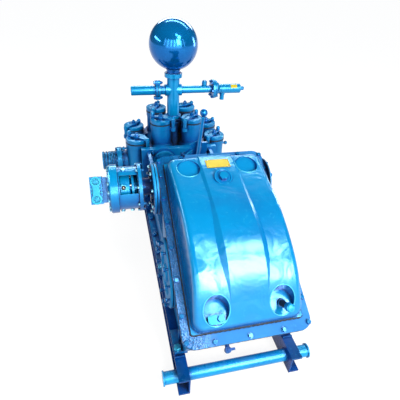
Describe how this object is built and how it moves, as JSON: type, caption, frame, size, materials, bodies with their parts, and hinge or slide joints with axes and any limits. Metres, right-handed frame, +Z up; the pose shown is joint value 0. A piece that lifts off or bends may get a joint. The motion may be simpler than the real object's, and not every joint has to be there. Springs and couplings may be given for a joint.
{
  "type": "duplex mud pump",
  "caption": "Duplex piston mud pump on channel skids, with a sloping domed crankcase cover, hydraulic motor drive, valve pots, spherical air vessel and relief valve.",
  "frame": {"origin": "centre of the four mounting holes in the skids' lower flanges, on the ground", "axes": "+Z up; +Y lengthwise from the sloping crankcase cover toward the fluid end; +X to the side away from the hydraulic motor"},
  "size_m": [1.085, 1.9836, 1.206],
  "materials": {
    "blue_paint": "glossy azure enamel",
    "cast_blue_paint": "glossy azure enamel over rough castings",
    "plate_yellow": "bare yellow plate"
  },
  "bodies": {
    "pump": {"air_vessel": "blue_paint", "bell_housing": "cast_blue_paint", "breather_cap": "blue_paint", "cover_hold_down": "blue_paint", "cover_plug": "blue_paint", "crank_cover_left": "cast_blue_paint", "crank_cover_right": "cast_blue_paint", "crankcase": "cast_blue_paint", "crankcase_cover": "blue_paint", "crosshead_feet": "blue_paint", "crosshead_housing": "cast_blue_paint", "cylinder_heads": "cast_blue_paint", "discharge_flange": "cast_blue_paint", "discharge_manifold": "cast_blue_paint", "discharge_nozzle": "blue_paint", "drain_cock": "blue_paint", "drive_neck": "blue_paint", "fluid_end_left": "cast_blue_paint", "fluid_end_right": "cast_blue_paint", "frame_feet": "blue_paint", "frame_floor": "blue_paint", "frame_side_left": "blue_paint", "frame_side_right": "blue_paint", "gauge_plug": "blue_paint", "gland_flanges": "blue_paint", "hydraulic_motor": "blue_paint", "motor_adaptor": "blue_paint", "motor_port_block": "blue_paint", "name_plate": "plate_yellow", "pinion_cover_left": "cast_blue_paint", "pinion_cover_right": "cast_blue_paint", "piston_rods": "blue_paint", "relief_flange": "cast_blue_paint", "relief_spout": "blue_paint", "relief_valve": "blue_paint", "riser": "cast_blue_paint", "riser_collar": "blue_paint", "shift_bracket": "blue_paint", "side_cocks": "blue_paint", "skid_left": "blue_paint", "skid_right": "blue_paint", "suction_crossover": "cast_blue_paint", "suction_elbow": "cast_blue_paint", "suction_nozzle": "blue_paint", "tow_tube_far": "blue_paint", "tow_tube_near": "blue_paint", "valve_caps_left": "cast_blue_paint", "valve_caps_right": "cast_blue_paint", "valve_yokes_left": "cast_blue_paint", "valve_yokes_right": "cast_blue_paint"},
    "shift_lever": {"shift_lever": "blue_paint", "lever_knob": "blue_paint"},
    "drive_coupling": {"drive_coupling": "blue_paint"}
  },
  "joints": [
    {"name": "lever_swing", "type": "hinge", "parent": "pump", "child": "shift_lever", "pos_m": [0.0107, 0.02, 0.56], "axis": [0, 1, 0], "range_deg": [-20, 10]},
    {"name": "coupling_spin", "type": "hinge", "parent": "pump", "child": "drive_coupling", "pos_m": [-0.39, -0.315, 0.624], "axis": [1, 0, 0], "continuous": true}
  ]
}
